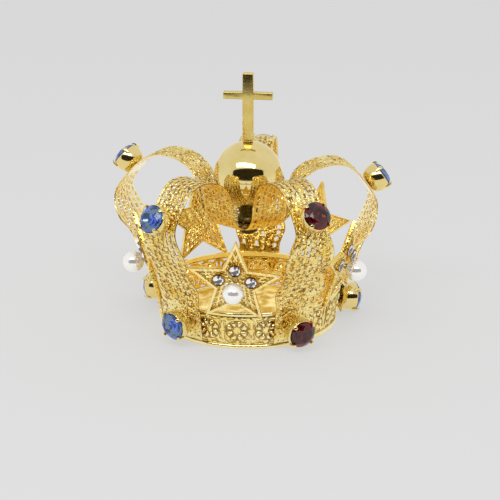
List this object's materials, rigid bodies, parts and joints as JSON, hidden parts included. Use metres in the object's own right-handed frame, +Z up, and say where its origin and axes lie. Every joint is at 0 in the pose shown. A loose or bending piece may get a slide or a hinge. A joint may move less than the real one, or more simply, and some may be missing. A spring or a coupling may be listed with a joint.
{
  "type": "statue crown",
  "caption": "Small gilt openwork crown for a statue: pierced circlet, arches with claw-set stones, stars with pearls, and an orb with a cross.",
  "frame": {"origin": "centre of the circlet's foot, on the plane that the crown stands on", "axes": "+Z up along the crown's axis, -Y towards the front star, +X to the right seen from the front"},
  "size_m": [0.0562, 0.0543, 0.05],
  "materials": {
    "gilt": "bright gold plating, polished on the orb, cross and bowls, crisp pierced and embossed on the sheet pieces",
    "blue_glass": "faceted, foiled behind",
    "garnet_glass": "faceted, foiled behind",
    "clear_crystal": "faceted, foiled behind",
    "pearl": "pearl coating, soft sheen"
  },
  "bodies": {
    "root": {"arch_back": "gilt", "arch_front_left": "gilt", "arch_front_right": "gilt", "arch_left": "gilt", "arch_right": "gilt", "bottom_rim_wire": "gilt", "circlet_setting_back": "gilt", "circlet_setting_front_left": "gilt", "circlet_setting_front_right": "gilt", "circlet_setting_left": "gilt", "circlet_setting_right": "gilt", "circlet_sheet": "gilt", "circlet_stone_back": "garnet_glass", "circlet_stone_front_left": "blue_glass", "circlet_stone_front_right": "garnet_glass", "circlet_stone_left": "blue_glass", "circlet_stone_right": "blue_glass", "collar": "gilt", "cross": "gilt", "crystal_left_front": "clear_crystal", "crystal_left_left_back": "clear_crystal", "crystal_left_left_front": "clear_crystal", "crystal_left_right_back": "clear_crystal", "crystal_left_right_front": "clear_crystal", "crystal_right_front": "clear_crystal", "crystal_right_left_back": "clear_crystal", "crystal_right_left_front": "clear_crystal", "crystal_right_right_back": "clear_crystal", "crystal_right_right_front": "clear_crystal", "crystal_top_front": "clear_crystal", "crystal_top_left_back": "clear_crystal", "crystal_top_left_front": "clear_crystal", "crystal_top_right_back": "clear_crystal", "crystal_top_right_front": "clear_crystal", "nut": "gilt", "orb_lower_half": "gilt", "orb_upper_half": "gilt", "pearl_front": "pearl", "pearl_left_back": "pearl", "pearl_left_front": "pearl", "pearl_right_back": "pearl", "pearl_right_front": "pearl", "shoulder_setting_back": "gilt", "shoulder_setting_front_left": "gilt", "shoulder_setting_front_right": "gilt", "shoulder_setting_left": "gilt", "shoulder_setting_right": "gilt", "shoulder_stone_back": "garnet_glass", "shoulder_stone_front_left": "blue_glass", "shoulder_stone_front_right": "garnet_glass", "shoulder_stone_left": "blue_glass", "shoulder_stone_right": "blue_glass", "star_front": "gilt", "star_left_back": "gilt", "star_left_front": "gilt", "star_right_back": "gilt", "star_right_front": "gilt", "stud": "gilt", "top_rim_wire": "gilt", "washer": "gilt"}
  },
  "joints": []
}
